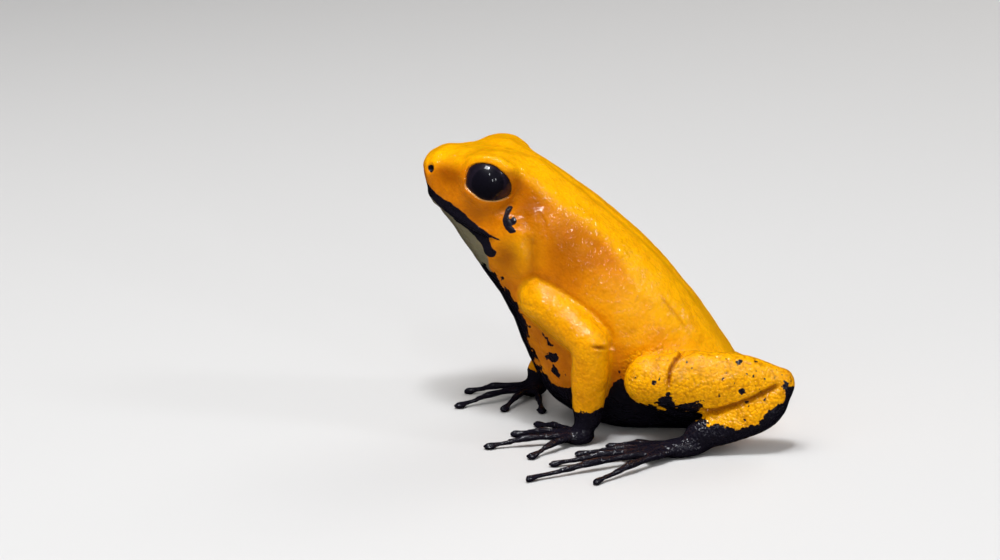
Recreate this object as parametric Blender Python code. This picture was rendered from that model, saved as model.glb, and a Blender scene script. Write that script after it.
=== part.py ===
"""Golden poison frog, life size, sitting upright on its seat, hands and feet.

The frog faces -X, its left side is toward -Y and +Z is up. The origin is on the floor,
under the middle of the seat. Sizes and places are in millimetres and are scaled by MM.
"""

import math

import bmesh
import bpy
import numpy as np
from mathutils import Matrix, Vector

MM = 0.001
GAP = 0.3  # between neighbouring parts
BELOW_FLOOR = 0.12  # how far soft undersides are pressed flat by the floor

# Trunk, from the rump to the snout. Each station gives the back point and the belly
# point in the plane of symmetry, the half width, and where the widest line lies
# between them (0 at the back, 1 at the belly).
TRUNK_STATIONS = (
    # back x, z, belly x, z, half width, widest
    (9.6, 1.9, 8.4, 0.9, 2.6, 0.50),  # behind the vent
    (9.9, 3.4, 5.4, -0.3, 4.0, 0.50),  # vent
    (8.7, 6.2, -0.4, -0.5, 5.9, 0.52),  # hips
    (6.1, 10.0, -7.4, -0.3, 7.9, 0.52),  # loin
    (2.4, 15.1, -13.4, 2.6, 9.2, 0.52),  # belly
    (-2.6, 20.7, -16.3, 7.4, 9.3, 0.50),  # ribs
    (-8.0, 25.3, -18.2, 12.0, 8.6, 0.48),  # shoulders
    (-12.6, 28.8, -19.8, 15.0, 7.8, 0.50),  # neck
    (-16.4, 31.4, -21.4, 17.4, 7.3, 0.64),  # corners of the mouth
    (-20.4, 32.2, -23.4, 20.4, 6.5, 0.68),  # eyes
    (-23.6, 32.2, -25.2, 22.7, 5.7, 0.66),  # front of the eyes
    (-26.4, 31.9, -26.9, 24.5, 4.6, 0.60),  # nostrils
    (-28.1, 31.1, -28.0, 26.5, 3.2, 0.52),  # snout
    (-28.9, 30.5, -28.6, 28.3, 2.2, 0.45),  # foremost point
)
# Exponent of the section above the widest line, by station. 2 is an ellipse.
SQUARE_ABOVE = ((6.5, 2.5), (8.0, 2.1), (9.5, 2.1), (11.0, 2.6))
SQUARE_BELOW = 2.2
NECK_STATION = 7.2

# Forms fused to the trunk: brow and cheek, a bridge from brow to brow, and the temples.
BROW_CENTRE = (-20.8, 4.5, 28.85)
BROW_SIZES = (3.7, 3.1, 3.5)
CHEEK_CENTRE = (-20.9, 3.9, 27.3)
CHEEK_SIZES = (5.6, 3.0, 3.9)
BRIDGE_THICKNESS = (4.4, 3.45)  # half thickness lengthwise and upward
TEMPLE = ((-19.4, 3.4, 29.5), (-16.4, 3.4, 27.8), (-13.0, 4.2, 24.8))
TEMPLE_THICKNESS = ((2.7, 2.7), (2.6, 2.6), (2.2, 2.2))

# Eyes, mouth, nostrils and eardrums.
EYE_CENTRE = (-20.6, 4.7, 28.95)
EYE_RADIUS = 3.0
EYE_LOOKS = (0.09, 0.99, 0.05)
LID_THICKNESS = 0.5
EYE_OPENING = (2.8, 2.3)  # half length and half height
OPENING_DEPTH = 6.0
OPENING_FLARE = 1.15  # how much wider the opening gets over its depth
MOUTH_LINE = (
    # x and height
    (-30.0, 26.3), (-27.9, 26.1), (-25.2, 24.8), (-22.6, 23.5), (-20.8, 22.9), (-19.1, 22.6),
)  # fmt: skip
MOUTH_GROOVE = (0.35, 0.5)  # width and depth
MOUTH_CUTTER_WIDTH = 20.0  # more than the head's width
NOSTRIL = (-27.45, 3.25, 29.75)
NOSTRIL_SIZE = (0.45, 0.5, 0.35)
EARDRUM = (-16.9, 7.2, 25.2)
EARDRUM_SIZE = (1.3, 0.35, 1.3)

# Front limbs: joints from the shoulder to the wrist, with the two half thicknesses at
# the shoulder, upper arm, elbow, forearm and wrist.
SHOULDER = (-14.4, 7.0, 16.0)
ARM_THICKNESS = ((2.5, 2.6), (2.3, 2.4), (2.0, 2.1), (1.95, 2.15), (1.45, 1.6))
ELBOW = {"left": (-8.1, 10.9, 11.7), "right": (-9.8, 11.2, 10.8)}
WRIST = {"left": (-8.5, 10.4, 2.9), "right": (-16.3, 7.9, 2.8)}
HAND_TURN = {"left": 8.0, "right": -52.0}  # outward, in degrees
# Fingers, inner to outer: angle outward in degrees and length from the wrist.
FINGERS = ((-52.0, 7.4), (-18.0, 7.6), (12.0, 10.4), (46.0, 7.8))
FINGER_THICKNESS = 0.5
FINGER_DISC = (0.95, 0.72)
PALM = (2.0, 1.7, 1.0)

# Hind limbs: the hip, knee, heel and ankle joints, with the half thicknesses at the
# joints and in between.
HIP = (7.6, 3.2, 4.0)
KNEE = {"left": (-1.6, 12.0, 8.3), "right": (-1.6, 12.4, 5.0)}
HEEL = {"left": (13.0, 10.0, 7.8), "right": (11.0, 8.2, 2.2)}
ANKLE = {"left": (4.2, 12.6, 2.2), "right": (4.4, 14.4, 1.9)}
THIGH_THICKNESS = {
    "left": ((2.9, 3.0), (3.5, 3.9), (2.6, 2.9)),
    "right": ((2.9, 2.6), (3.3, 3.2), (2.5, 2.5)),
}
SHANK_THICKNESS = {
    "left": ((2.6, 2.8), (2.7, 3.5), (2.4, 3.3), (1.7, 2.0)),
    "right": ((2.5, 2.5), (2.6, 2.6), (2.3, 2.3), (1.6, 1.7)),
}
TARSUS_THICKNESS = ((1.7, 1.8), (1.9, 2.2), (1.7, 2.1), (1.5, 1.7))
CALF = (0.35, 0.72)  # where along the shank its two inner thicknesses are
HEEL_BEND = (0.3, (1.2, 0, -1.0))  # the tarsus bends out behind the heel
TARSUS_SAG = (0.65, (0, 0, -1.0))
FOOT_SLOPE = (-3, 0, -0.5)  # the way the foot leaves the ankle
FOOT_TURN = {"left": 26.0, "right": 30.0}  # outward, in degrees
# Toes, inner to outer: angle outward in degrees and length from the ankle.
TOES = ((-34.0, 8.6), (-16.0, 11.8), (-3.0, 15.2), (9.0, 19.6), (26.0, 14.2))
TOE_THICKNESS = 0.52
TOE_DISC = (0.85, 0.66)
SOLE = (3.4, 1.7, 1.1)

# Every finger and toe: height of its axis at root, middle and tip, thickness there as a
# share of its own, and half height of the disc.
DIGIT_HEIGHTS = (0.95, 1.05, 0.42)
DIGIT_TAPER = (1.3, 1.0, 0.85)
DISC_HEIGHT = 0.45
# Where a pad's middle and its digits' roots lie ahead of the joint, as shares of the pad.
PAD_MIDDLE = 0.55
DIGIT_ROOT = 0.45
JOINT_NECK = 1.35  # half thickness of the neck from the joint down to the pad
PAD_NECK = (0.8, 0.85)  # its end: share of the pad's width, and half height

SIDES = {"left": -1.0, "right": 1.0}

# Facets.
TRUNK_FACETS = (32, 46)
LIMB_FACETS = (14, 13)
DIGIT_FACETS = (8, 6)
DISC_FACETS = (8, 5)
PAD_FACETS = (12, 8)
EYE_FACETS = (18, 12)
FORM_FACETS = (16, 11)
PIT_FACETS = (12, 8)
OPENING_FACETS = 20
MOUTH_CUTS = 11
SMALLEST_EDGE = 0.002

YELLOW = (0.93, 0.50, 0.02, 1.0)
BLACK = (0.012, 0.011, 0.018, 1.0)


def clear_scene():
    for old in list(bpy.data.objects):
        bpy.data.objects.remove(old, do_unlink=True)


def new_collection(name):
    collection = bpy.data.collections.new(name)
    bpy.context.scene.collection.children.link(collection)
    return collection


def skin_material(name, colour, roughness):
    made = bpy.data.materials.new(name)
    made.use_nodes = True
    shader = made.node_tree.nodes["Principled BSDF"]
    shader.inputs["Base Color"].default_value = colour
    shader.inputs["Roughness"].default_value = roughness
    shader.inputs["Metallic"].default_value = 0.0
    return made


def spline(values, position):
    """The Catmull-Rom curve through the rows of values, at a row number."""
    last = len(values) - 1
    start = min(int(position), last - 1)
    f = position - start
    before, first = values[max(start - 1, 0)], values[start]
    second, after = values[start + 1], values[min(start + 2, last)]
    straight = first + 0.5 * f * (second - before)
    square = before - 2.5 * first + 2 * second - 0.5 * after
    cube = 1.5 * first - 0.5 * before - 1.5 * second + 0.5 * after
    return straight + square * f**2 + cube * f**3


def sphere_mesh(facets, place):
    """A ball whose vertices are moved by place(along 0..1, across, up)."""
    bm = bmesh.new()
    around, along = facets
    bmesh.ops.create_uvsphere(bm, u_segments=around, v_segments=along, radius=1.0)
    for vert in bm.verts:
        across, up, length = vert.co
        reach = math.hypot(across, up)
        if reach > 1e-6:
            across, up = across / reach, up / reach
        vert.co = Vector(place((1 + length) / 2, across, up)) * MM
    bmesh.ops.recalc_face_normals(bm, faces=bm.faces)
    return bm


def make_object(name, bm, collection, material=None):
    mesh = bpy.data.meshes.new(name)
    bm.to_mesh(mesh)
    bm.free()
    made = bpy.data.objects.new(name, mesh)
    if material:
        mesh.materials.append(material)
    collection.objects.link(made)
    return made


def shells_of(bm):
    """The mesh's separate closed surfaces, each as a set of faces."""
    unseen = set(bm.faces)
    shells = []
    while unseen:
        frontier = [unseen.pop()]
        shell = set(frontier)
        while frontier:
            face = frontier.pop()
            for edge in face.edges:
                for other in edge.link_faces:
                    if other in unseen:
                        unseen.remove(other)
                        shell.add(other)
                        frontier.append(other)
        shells.append(shell)
    return shells


def volume_of(shell):
    return sum(f.calc_area() * f.normal.dot(f.calc_center_median()) / 3 for f in shell)


def keep_largest(bm):
    """Deletes every closed surface but the one with the largest volume."""
    bm.normal_update()
    shells = sorted(shells_of(bm), key=lambda shell: abs(volume_of(shell)))
    for shell in shells[:-1]:
        verts = {vert for face in shell for vert in face.verts}
        bmesh.ops.delete(bm, geom=list(verts), context="VERTS")


def apply_modifiers(obj):
    """Gives the object its evaluated mesh, cleaned and as one closed surface."""
    graph = bpy.context.evaluated_depsgraph_get()
    mesh = bpy.data.meshes.new_from_object(obj.evaluated_get(graph))
    obj.modifiers.clear()
    obj.data = mesh
    tidy_mesh(obj)


def tidy_mesh(obj):
    bm = bmesh.new()
    bm.from_mesh(obj.data)
    bmesh.ops.remove_doubles(bm, verts=bm.verts, dist=SMALLEST_EDGE * MM)
    bmesh.ops.dissolve_degenerate(bm, dist=SMALLEST_EDGE * MM, edges=bm.edges)
    keep_largest(bm)
    bmesh.ops.triangulate(bm, faces=[f for f in bm.faces if len(f.verts) > 4])
    bmesh.ops.recalc_face_normals(bm, faces=bm.faces)
    bm.to_mesh(obj.data)
    bm.free()


def boolean(obj, other, operation):
    """Applies one Boolean with another object, which is then removed."""
    modifier = obj.modifiers.new(operation.title(), "BOOLEAN")
    modifier.operation = operation
    modifier.solver = "EXACT"
    modifier.object = other
    apply_modifiers(obj)
    bpy.data.objects.remove(other, do_unlink=True)


def fuse(obj, pieces, helpers):
    """Joins the pieces to the object by one Boolean union on their collection."""
    group = bpy.data.collections.new("pieces of " + obj.name)
    helpers.children.link(group)
    for piece in pieces:
        helpers.objects.unlink(piece)
        group.objects.link(piece)
    modifier = obj.modifiers.new("Union", "BOOLEAN")
    modifier.operation = "UNION"
    modifier.solver = "EXACT"
    modifier.operand_type = "COLLECTION"
    modifier.collection = group
    apply_modifiers(obj)
    for piece in pieces:
        bpy.data.objects.remove(piece, do_unlink=True)
    bpy.data.collections.remove(group)


def grown_copy(obj, by, helpers):
    """A helper copy of the object, moved outward by this many millimetres."""
    bm = bmesh.new()
    bm.from_mesh(obj.data)
    bm.normal_update()
    moves = [(vert, vert.normal * by * MM) for vert in bm.verts]
    for vert, move in moves:
        vert.co += move
    return make_object(obj.name + " grown", bm, helpers)


def clip(obj, point, normal):
    """Keeps the side of a plane that the normal points to, and closes the cut."""
    bm = bmesh.new()
    bm.from_mesh(obj.data)
    geometry = bm.verts[:] + bm.edges[:] + bm.faces[:]
    bmesh.ops.bisect_plane(
        bm,
        geom=geometry,
        dist=1e-7,
        plane_co=Vector(point) * MM,
        plane_no=normal,
        clear_inner=True,
    )
    rim = [edge for edge in bm.edges if edge.is_boundary]
    bmesh.ops.holes_fill(bm, edges=rim, sides=0)
    bm.to_mesh(obj.data)
    bm.free()
    tidy_mesh(obj)


def clip_at_floor(obj):
    clip(obj, (0, 0, 0), (0, 0, 1))


def part_at_joint(first, second, joint, first_end, second_end):
    """Parts two limb segments by the plane that halves the angle at their joint."""
    joint = Vector(joint)
    toward_first = (Vector(first_end) - joint).normalized()
    toward_second = (Vector(second_end) - joint).normalized()
    normal = (toward_first - toward_second).normalized()
    clip(first, joint + normal * GAP / 2, normal)
    clip(second, joint - normal * GAP / 2, -normal)


def on_side(point, side):
    return Vector((point[0], point[1] * SIDES[side], point[2]))


def trunk_point(along, across, up):
    """A point of the trunk's surface, with domes over the first and last stations."""
    last = len(TRUNK_STATIONS) - 1
    position = along * last
    back_x, back_z, belly_x, belly_z, half_width, widest = spline(
        np.array(TRUNK_STATIONS), position
    )
    into_dome = max(1 - position, position - (last - 1), 0.0)
    dome = math.sqrt(max(1 - into_dome**2, 0.0))
    back, belly = Vector((back_x, 0, back_z)), Vector((belly_x, 0, belly_z))
    middle = back.lerp(belly, widest)
    reach = (back - middle) if up > 0 else (middle - belly)
    square = np.interp(position, *zip(*SQUARE_ABOVE)) if up > 0 else SQUARE_BELOW
    power = 2 / square
    lift = math.copysign(abs(up) ** power, up)
    side = math.copysign(abs(across) ** power, across)
    return middle + (reach * lift + Vector((0, half_width * side, 0))) * dome


def neck_plane():
    back_x, back_z, belly_x, belly_z, _, _ = spline(np.array(TRUNK_STATIONS), NECK_STATION)
    along_cut = Vector((back_x - belly_x, 0, back_z - belly_z)).normalized()
    return Vector((back_x, 0, back_z)), Vector((-along_cut.z, 0, along_cut.x))


def limb_mesh(joints, thickness, guide, facets=LIMB_FACETS):
    """A rounded tube along a smooth path through the joints.

    Each joint has two half thicknesses, across and along the guide direction.
    """
    rows = np.array([(*joint, *sizes) for joint, sizes in zip(joints, thickness)])
    fine = np.array([spline(rows, q) for q in np.linspace(0, len(rows) - 1, 81)])
    steps = np.linalg.norm(np.diff(fine[:, :3], axis=0), axis=1)
    distance = np.concatenate([[0.0], np.cumsum(steps)])
    length = distance[-1]
    first_dome, last_dome = rows[0, 3:].mean(), rows[-1, 3:].mean()

    def at(d):
        return np.array([np.interp(d, distance, fine[:, i]) for i in range(5)])

    def place(along, across, up):
        d = -first_dome + along * (length + first_dome + last_dome)
        inside = min(max(d, 0.0), length)
        row = at(inside)
        heading = Vector(at(inside + 0.2)[:3] - at(inside - 0.2)[:3]).normalized()
        centre = Vector(row[:3]) + heading * (d - inside)
        beyond = abs(d - inside) / (first_dome if d < 0 else last_dome)
        dome = math.sqrt(max(1 - beyond**2, 0.0))
        side = heading.cross(Vector(guide)).normalized()
        top = side.cross(heading)
        return centre + (side * across * row[3] + top * up * row[4]) * dome

    return sphere_mesh(facets, place)


def ellipsoid_mesh(centre, sizes, turn=0.0, facets=PIT_FACETS):
    """An ellipsoid with these half axes, turned about the vertical by degrees."""
    rotation = Matrix.Rotation(math.radians(turn), 3, "Z")

    def place(along, across, up):
        height = 2 * along - 1
        round_off = math.sqrt(max(1 - height**2, 0.0))
        offset = Vector((across * round_off, up * round_off, height))
        offset = Vector(a * b for a, b in zip(offset, sizes))
        return Vector(centre) + rotation @ offset

    return sphere_mesh(facets, place)


def mouth_height(x):
    xs = [point[0] for point in MOUTH_LINE]
    position = float(np.interp(x, xs, range(len(xs))))
    return float(spline(np.array(MOUTH_LINE), position)[1])


def mouth_cutter(head, helpers):
    """A thin curved slab along the line of the mouth, left only near the skin."""
    width, depth = MOUTH_GROOVE
    front, corner = MOUTH_LINE[0][0], MOUTH_LINE[-1][0]
    bm = bmesh.new()
    bmesh.ops.create_cube(bm, size=1.0)
    lengthwise = [e for e in bm.edges if abs(e.verts[0].co.x - e.verts[1].co.x) > 0.5]
    bmesh.ops.subdivide_edges(bm, edges=lengthwise, cuts=MOUTH_CUTS, use_grid_fill=True)
    for vert in bm.verts:
        x = front + (vert.co.x + 0.5) * (corner - front)
        z = mouth_height(x) + vert.co.z * width
        vert.co = Vector((x, vert.co.y * MOUTH_CUTTER_WIDTH, z)) * MM
    slab = make_object("mouth slab", bm, helpers)
    boolean(slab, grown_copy(head, -depth, helpers), "DIFFERENCE")
    return slab


def eye_cutters(side, helpers):
    """The opening between the lids, then the socket, which must not be cut first."""
    centre = on_side(EYE_CENTRE, side)
    looks = on_side(EYE_LOOKS, side).normalized()
    socket = EYE_RADIUS + GAP
    ball = ellipsoid_mesh(centre, (socket,) * 3, facets=EYE_FACETS)
    bm = bmesh.new()
    bmesh.ops.create_cone(
        bm,
        cap_ends=True,
        segments=OPENING_FACETS,
        radius1=1.0,
        radius2=OPENING_FLARE,
        depth=OPENING_DEPTH,
    )
    bmesh.ops.translate(bm, verts=bm.verts, vec=(0, 0, OPENING_DEPTH / 2))
    bmesh.ops.scale(bm, verts=bm.verts, vec=(*EYE_OPENING, 1.0))
    ahead = Vector((-1, 0, 0))
    upward = looks.cross(ahead).normalized()
    ahead = upward.cross(looks)
    turn = Matrix((ahead, upward, looks)).transposed()
    if turn.determinant() < 0:
        turn = Matrix((ahead, -upward, looks)).transposed()
    bmesh.ops.rotate(bm, verts=bm.verts, cent=(0, 0, 0), matrix=turn)
    bmesh.ops.translate(bm, verts=bm.verts, vec=centre)
    bmesh.ops.scale(bm, verts=bm.verts, vec=(MM, MM, MM))
    bmesh.ops.recalc_face_normals(bm, faces=bm.faces)
    return [
        make_object("opening " + side, bm, helpers),
        make_object("socket " + side, ball, helpers),
    ]


def add_head_forms(trunk, helpers):
    """Fuses brows, cheeks, temples and the bridge between the brows to the trunk."""
    up = (0, 0, 1)
    brows = [on_side(BROW_CENTRE, side) for side in SIDES]
    bridge = (brows[0], brows[0].lerp(brows[1], 0.5), brows[1])
    forms = [limb_mesh(bridge, (BRIDGE_THICKNESS,) * 3, up, FORM_FACETS)]
    for side in SIDES:
        cheek = on_side(CHEEK_CENTRE, side)
        temple = [on_side(point, side) for point in TEMPLE]
        forms += [
            ellipsoid_mesh(on_side(BROW_CENTRE, side), BROW_SIZES, facets=FORM_FACETS),
            ellipsoid_mesh(cheek, CHEEK_SIZES, facets=FORM_FACETS),
            limb_mesh(temple, TEMPLE_THICKNESS, up, FORM_FACETS),
        ]
    fuse(trunk, [make_object("form", bm, helpers) for bm in forms], helpers)


def make_head_and_torso(animal, helpers, skin):
    """One trunk, parted at the neck, with lids, mouth and nostrils on the head."""
    head = make_object("head", sphere_mesh(TRUNK_FACETS, trunk_point), animal, skin)
    add_head_forms(head, helpers)
    torso = bpy.data.objects.new("torso", head.data.copy())
    animal.objects.link(torso)
    point, normal = neck_plane()
    clip(head, point + normal * GAP / 2, normal)
    clip(torso, point - normal * GAP / 2, -normal)
    clip_at_floor(torso)
    groove = mouth_cutter(head, helpers)
    lids = []
    for side in SIDES:
        lid = EYE_RADIUS + GAP + LID_THICKNESS
        bm = ellipsoid_mesh(on_side(EYE_CENTRE, side), (lid,) * 3, facets=EYE_FACETS)
        lids.append(make_object("lids " + side, bm, helpers))
    fuse(head, lids, helpers)
    cutters = [groove]
    for side in SIDES:
        cutters += eye_cutters(side, helpers)
        for pit, centre, sizes in (
            ("nostril ", NOSTRIL, NOSTRIL_SIZE),
            ("eardrum ", EARDRUM, EARDRUM_SIZE),
        ):
            bm = ellipsoid_mesh(on_side(centre, side), sizes)
            cutters.append(make_object(pit + side, bm, helpers))
    for cutter in cutters:
        boolean(head, cutter, "DIFFERENCE")
    return head, torso


def make_eyes(animal, material):
    for side in SIDES:
        centre = on_side(EYE_CENTRE, side)
        bm = ellipsoid_mesh(centre, (EYE_RADIUS,) * 3, facets=EYE_FACETS)
        make_object("eye_" + side, bm, animal, material)


def digit_meshes(start, angle, length, thickness, disc):
    """A finger or toe that arches a little and rests its disc on the floor."""
    ahead = Vector((-math.cos(angle), math.sin(angle), 0))
    tip = start + ahead * length
    along = (start, start.lerp(tip, 0.5), tip)
    joints = [(spot.x, spot.y, height) for spot, height in zip(along, DIGIT_HEIGHTS)]
    sizes = [(thickness * share,) * 2 for share in DIGIT_TAPER]
    disc_centre = Vector((tip.x, tip.y, DISC_HEIGHT - BELOW_FLOOR))
    disc_turn = math.degrees(math.atan2(ahead.y, ahead.x))
    return (
        limb_mesh(joints, sizes, (0, 0, 1), DIGIT_FACETS),
        ellipsoid_mesh(disc_centre, (*disc, DISC_HEIGHT), disc_turn, DISC_FACETS),
    )


def make_extremity(name, root, turn, digits, thickness, disc, pad, side, places):
    """A hand or a foot: a pad and its digits, fused and pressed flat on the floor."""
    animal, helpers, material = places
    sign = SIDES[side]
    ahead = Vector((-1, 0, 0))
    pad_length, pad_width, pad_height = pad
    turned = Matrix.Rotation(-sign * math.radians(turn), 3, "Z") @ ahead
    ground = Vector((root.x, root.y, 0))
    centre = ground + turned * (PAD_MIDDLE * pad_length)
    centre.z = pad_height - BELOW_FLOOR
    bm = ellipsoid_mesh(centre, pad, -sign * turn, facets=PAD_FACETS)
    made = make_object(f"{name}_{side}", bm, animal, material)
    neck = limb_mesh(
        (root, centre),
        ((JOINT_NECK, JOINT_NECK), (pad_width * PAD_NECK[0], PAD_NECK[1])),
        (0.3, 0, 1) if name == "foot" else (-1, 0, 0),
        PAD_FACETS,
    )
    pieces = [make_object("neck of " + made.name, neck, helpers)]
    start = ground + turned * (DIGIT_ROOT * pad_length)
    for angle, length in digits:
        bearing = sign * math.radians(turn + angle)
        for bm in digit_meshes(start, bearing, length, thickness, disc):
            pieces.append(make_object("digit of " + made.name, bm, helpers))
    fuse(made, pieces, helpers)
    clip_at_floor(made)
    return made


def make_arm(side, torso, animal, helpers, skin, black):
    shoulder = on_side(SHOULDER, side)
    elbow = on_side(ELBOW[side], side)
    wrist = on_side(WRIST[side], side)
    inner = elbow.lerp(shoulder, 0.5)
    sizes = ARM_THICKNESS
    bm = limb_mesh((shoulder, inner, elbow), sizes[:3], (0, 0, 1))
    upper = make_object("upper_arm_" + side, bm, animal, skin)
    middle = elbow.lerp(wrist, 0.45)
    bm = limb_mesh((elbow, middle, wrist), sizes[2:], (-1, 0, 0))
    fore = make_object("forearm_" + side, bm, animal, skin)
    hand = make_extremity(
        "hand",
        wrist,
        HAND_TURN[side],
        FINGERS,
        FINGER_THICKNESS,
        FINGER_DISC,
        PALM,
        side,
        (animal, helpers, black),
    )
    part_at_joint(upper, fore, elbow, shoulder, wrist)
    part_at_joint(fore, hand, wrist, elbow, (wrist.x, wrist.y, 0))
    for piece in (upper, fore):
        boolean(piece, grown_copy(torso, GAP, helpers), "DIFFERENCE")


def make_leg(side, torso, animal, helpers, skin, black):
    hip, knee = on_side(HIP, side), on_side(KNEE[side], side)
    heel, ankle = on_side(HEEL[side], side), on_side(ANKLE[side], side)
    up = (0, 0, 1)
    thigh_joints = (hip, hip.lerp(knee, 0.5), knee)
    bm = limb_mesh(thigh_joints, THIGH_THICKNESS[side], up)
    thigh = make_object("thigh_" + side, bm, animal, skin)
    shank_joints = (knee, knee.lerp(heel, CALF[0]), knee.lerp(heel, CALF[1]), heel)
    bm = limb_mesh(shank_joints, SHANK_THICKNESS[side], up)
    shank = make_object("shank_" + side, bm, animal, skin)
    bends = [
        heel.lerp(ankle, share) + Vector(offset) for share, offset in (HEEL_BEND, TARSUS_SAG)
    ]
    tarsus_joints = (heel, *bends, ankle)
    bm = limb_mesh(tarsus_joints, TARSUS_THICKNESS, (0.4, 0, 1))
    tarsus = make_object("tarsus_" + side, bm, animal, skin)
    foot = make_extremity(
        "foot",
        ankle,
        FOOT_TURN[side],
        TOES,
        TOE_THICKNESS,
        TOE_DISC,
        SOLE,
        side,
        (animal, helpers, black),
    )
    part_at_joint(thigh, shank, knee, hip, heel)
    part_at_joint(shank, tarsus, heel, knee, ankle)
    part_at_joint(tarsus, foot, ankle, heel, ankle + Vector(FOOT_SLOPE))
    for piece in (thigh, tarsus):
        clip_at_floor(piece)
    for piece in (thigh, shank, tarsus):
        boolean(piece, grown_copy(torso, GAP, helpers), "DIFFERENCE")
    boolean(tarsus, grown_copy(thigh, GAP, helpers), "DIFFERENCE")
    boolean(tarsus, grown_copy(shank, GAP, helpers), "DIFFERENCE")


def main():
    clear_scene()
    animal = new_collection("golden_poison_frog")
    helpers = new_collection("helpers")
    skin = skin_material("yellow skin", YELLOW, 0.32)
    black = skin_material("black skin", BLACK, 0.3)
    eye = skin_material("eye", BLACK, 0.05)
    _, torso = make_head_and_torso(animal, helpers, skin)
    make_eyes(animal, eye)
    for side in SIDES:
        make_arm(side, torso, animal, helpers, skin, black)
        make_leg(side, torso, animal, helpers, skin, black)
    bpy.data.collections.remove(helpers)
    for part in animal.objects:
        part.data.shade_smooth()
        part.data.set_sharp_from_angle(angle=math.radians(40))


main()
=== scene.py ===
# %% [markdown]
# # A golden poison frog, life size
# This notebook dresses the plain solid model of a golden poison frog. The real animal is
# about 48 mm long. Its skin is wet and glossy, yellow along the back, orange on the
# flanks, and black on the lips, the belly, the hands and the feet.
# The first cell loads the solid model as a fixed frame, in metres. The frog faces -X, its
# left side is toward -Y and the floor is at z = 0. The sizes below are in millimetres, so
# each one is multiplied by MM when it becomes a mesh.

import math

import bmesh
import bpy
import numpy as np
from mathutils import Matrix, Vector, noise


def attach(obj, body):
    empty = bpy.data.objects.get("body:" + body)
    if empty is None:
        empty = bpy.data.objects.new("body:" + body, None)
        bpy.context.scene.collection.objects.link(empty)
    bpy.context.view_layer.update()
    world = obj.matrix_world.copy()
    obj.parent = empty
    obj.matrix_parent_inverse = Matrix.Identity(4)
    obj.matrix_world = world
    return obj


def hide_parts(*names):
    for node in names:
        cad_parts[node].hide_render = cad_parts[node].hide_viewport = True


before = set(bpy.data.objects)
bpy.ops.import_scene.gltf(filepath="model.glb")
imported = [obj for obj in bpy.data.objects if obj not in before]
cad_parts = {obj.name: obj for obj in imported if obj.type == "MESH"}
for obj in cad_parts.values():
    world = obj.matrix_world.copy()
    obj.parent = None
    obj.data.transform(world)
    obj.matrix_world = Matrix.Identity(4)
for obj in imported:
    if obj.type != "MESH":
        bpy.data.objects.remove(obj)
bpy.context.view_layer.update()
MM = 0.001
SIDES = {"left": -1.0, "right": 1.0}

# %% [markdown]
# ## Camera
# The photograph looks at the frog's left side, 8 degrees round toward the tail and 15
# degrees from above, through a long lens. A camera is placed by a point to look at, a
# direction and a distance, because those three can be set one at a time.

# %% The camera
def shown(name, data):
    """A new object with this data, in the scene."""
    made = bpy.data.objects.new(name, data)
    bpy.context.scene.collection.objects.link(made)
    return made


CAMERA_AZIMUTH = math.radians(8)
CAMERA_ELEVATION = math.radians(15)
CAMERA_TARGET = Vector((-0.01999, 0.0, 0.0160))
CAMERA_DISTANCE = 0.323
camera_data = bpy.data.cameras.new("camera")
camera_data.lens = 100
camera_data.sensor_width = 36
camera_data.clip_start = 0.01
camera = shown("camera", camera_data)
level = math.cos(CAMERA_ELEVATION)
across, toward = math.sin(CAMERA_AZIMUTH) * level, -math.cos(CAMERA_AZIMUTH) * level
toward_camera = Vector((across, toward, math.sin(CAMERA_ELEVATION)))
camera.location = CAMERA_TARGET + toward_camera * CAMERA_DISTANCE
camera.rotation_euler = toward_camera.to_track_quat("Z", "Y").to_euler()
bpy.context.scene.camera = camera
print("camera at", tuple(round(c, 4) for c in camera.location))

# %% [markdown]
# ## Studio
# The floor is a pale disc whose rim curves up all round, as a photographer's paper sweep
# does, so no horizon shows from any side. It is made by spinning one profile about the
# vertical.
# Wet skin mirrors its lights, and one big box would lay a grey haze over it. So the big
# boxes above, behind and in front of the frog only light it, and are left out of the
# reflections. The highlights come from smaller, brighter windows.


# %% Helpers for shader nodes
def feed(tree, target, inputs):
    """Feeds a node's inputs: pairs of a name or number, and a value or an output."""
    for name, value in inputs:
        if isinstance(value, bpy.types.NodeSocket):
            tree.links.new(value, target.inputs[name])
        else:
            target.inputs[name].default_value = value


def node(tree, kind, inputs=(), **settings):
    made = tree.nodes.new("ShaderNode" + kind)
    for name, value in settings.items():
        setattr(made, name, value)
    feed(tree, made, inputs)
    return made


def blended(tree, factor, below, above, kind="MIX"):
    """A mix of two colours."""
    inputs = ((0, factor), (6, below), (7, above))
    made = node(tree, "Mix", inputs, data_type="RGBA", clamp_factor=True, blend_type=kind)
    return made.outputs[2]


def new_material(name):
    """A material with nodes, and its Principled shader."""
    made = bpy.data.materials.new(name)
    made.use_nodes = True
    return made, made.node_tree.nodes["Principled BSDF"]


# %% The sweep
FLOOR_RADIUS = 0.7
SWEEP_RADIUS = 0.35
FLOOR_GREY = (0.62, 0.61, 0.60, 1.0)


def into_mesh(bm, name):
    """The bmesh's faces as a mesh; the bmesh itself is freed."""
    mesh = bpy.data.meshes.new(name)
    bm.to_mesh(mesh)
    bm.free()
    return mesh


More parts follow.
